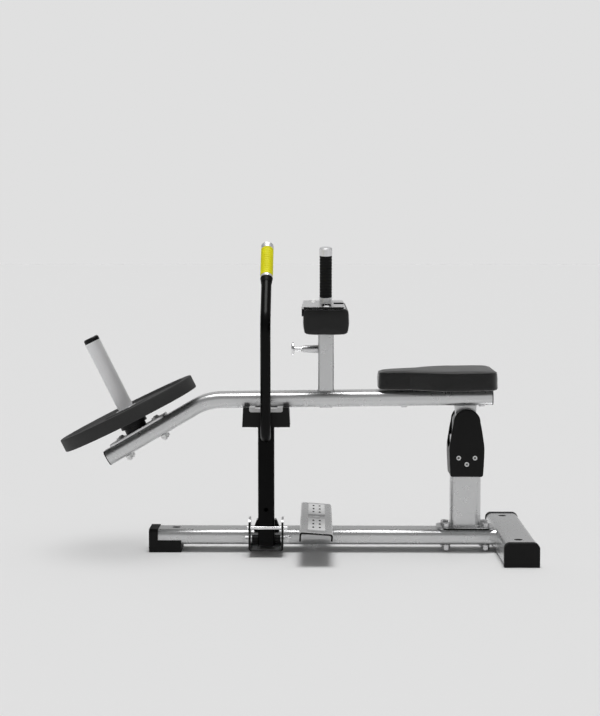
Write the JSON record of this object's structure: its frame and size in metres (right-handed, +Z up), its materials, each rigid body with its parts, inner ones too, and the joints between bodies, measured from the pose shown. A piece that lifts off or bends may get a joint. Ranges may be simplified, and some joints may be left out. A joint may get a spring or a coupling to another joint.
{
  "type": "seated calf raise machine",
  "caption": "Plate-loaded gym machine: floor frame, pivoting lift arm with seat, thigh pads and weight sleeve, foot plate, and a hand lever that catches the arm.",
  "frame": {"origin": "on the floor, at the middle of the machine's footprint", "axes": "+Z up; -X towards the weight plate, +X towards the seat and the rear cross foot; -Y is the catch lever's side"},
  "size_m": [1.4779, 0.558, 0.9769],
  "materials": {
    "silver_paint": "satin",
    "black_paint": "gloss",
    "plated_steel": "satin",
    "chrome_steel": "polished",
    "bright_aluminium": "satin",
    "tread_aluminium": "satin",
    "black_plastic": "matte",
    "wear_plastic": "satin",
    "foot_rubber": "matte",
    "grip_rubber": "matte",
    "yellow_rubber": "matte",
    "vinyl": "satin",
    "plywood": "matte",
    "plate_rubber": "matte",
    "iron": "matte"
  },
  "bodies": {
    "frame": {"base_beam": "silver_paint", "front_foot": "foot_rubber", "rear_cross_foot": "silver_paint", "cross_foot_cap_left": "foot_rubber", "cross_foot_cap_right": "foot_rubber", "rear_post": "silver_paint", "post_flange": "silver_paint", "flange_bolts": "plated_steel", "flange_nuts": "plated_steel", "pivot_yoke": "silver_paint", "pivot_axle": "plated_steel", "axle_retainers": "plated_steel", "pivot_cover_near": "black_plastic", "pivot_cover_far": "black_plastic", "cover_screws": "plated_steel", "foot_plate": "silver_paint", "foot_plate_wedge": "silver_paint", "tread_inserts": "tread_aluminium", "foot_plate_bolt": "plated_steel", "catch_bracket": "silver_paint", "catch_axle": "plated_steel", "catch_axle_nut": "plated_steel", "catch_washers": "plated_steel", "catch_stop_rod": "chrome_steel", "catch_bumper": "foot_rubber", "bumper_screws": "plated_steel"},
    "lift_arm": {"lift_beam": "silver_paint", "beam_end_caps": "black_plastic", "pivot_hub": "silver_paint", "pivot_bearings": "plated_steel", "sleeve_plate": "silver_paint", "sleeve_plate_bolts": "plated_steel", "weight_sleeve": "plated_steel", "sleeve_cap": "black_plastic", "sleeve_hub": "black_plastic", "knee_post": "silver_paint", "knee_post_glide": "black_plastic", "knee_post_plate": "plated_steel", "pin_barrel": "plated_steel", "seat_pad": "vinyl", "seat_board": "plywood", "seat_bolts": "plated_steel"},
    "catch_lever": {"lever_post": "black_paint", "lever_bushes": "black_plastic", "saddle_block": "black_plastic", "saddle_liner": "wear_plastic", "saddle_screws": "plated_steel", "handle_tube": "black_paint", "handle_grip": "yellow_rubber", "handle_collars": "bright_aluminium"},
    "thigh_carriage": {"carriage_tube": "plated_steel", "pad_bracket": "silver_paint", "thigh_pad_left": "vinyl", "thigh_pad_right": "vinyl", "pad_bolts": "plated_steel", "hand_grip": "grip_rubber", "hand_grip_core": "bright_aluminium"},
    "pull_pin": {"pull_pin": "plated_steel"},
    "weight_plate": {"plate_rubber": "plate_rubber", "plate_core": "iron"}
  },
  "joints": [
    {"name": "arm_pivot", "type": "hinge", "parent": "frame", "child": "lift_arm", "pos_m": [0.542, 0, 0.408], "axis": [0, 1, 0], "range_deg": [0, 15]},
    {"name": "catch_swing", "type": "hinge", "parent": "frame", "child": "catch_lever", "pos_m": [-0.085, -0.082, 0.048], "axis": [1, 0, 0], "range_deg": [0, 11]},
    {"name": "thigh_height", "type": "slide", "parent": "lift_arm", "child": "thigh_carriage", "axis": [0, 0, 1], "range_m": [0, 0.15]},
    {"name": "pin_pull", "type": "slide", "parent": "lift_arm", "child": "pull_pin", "axis": [-1, 0, 0], "range_m": [0, 0.01], "stiffness_N_per_m": 800, "springref_m": -0.01},
    {"name": "plate_slide", "type": "slide", "parent": "lift_arm", "child": "weight_plate", "axis": [-0.4446, 0, 0.8957], "range_m": [0, 0.3]}
  ]
}
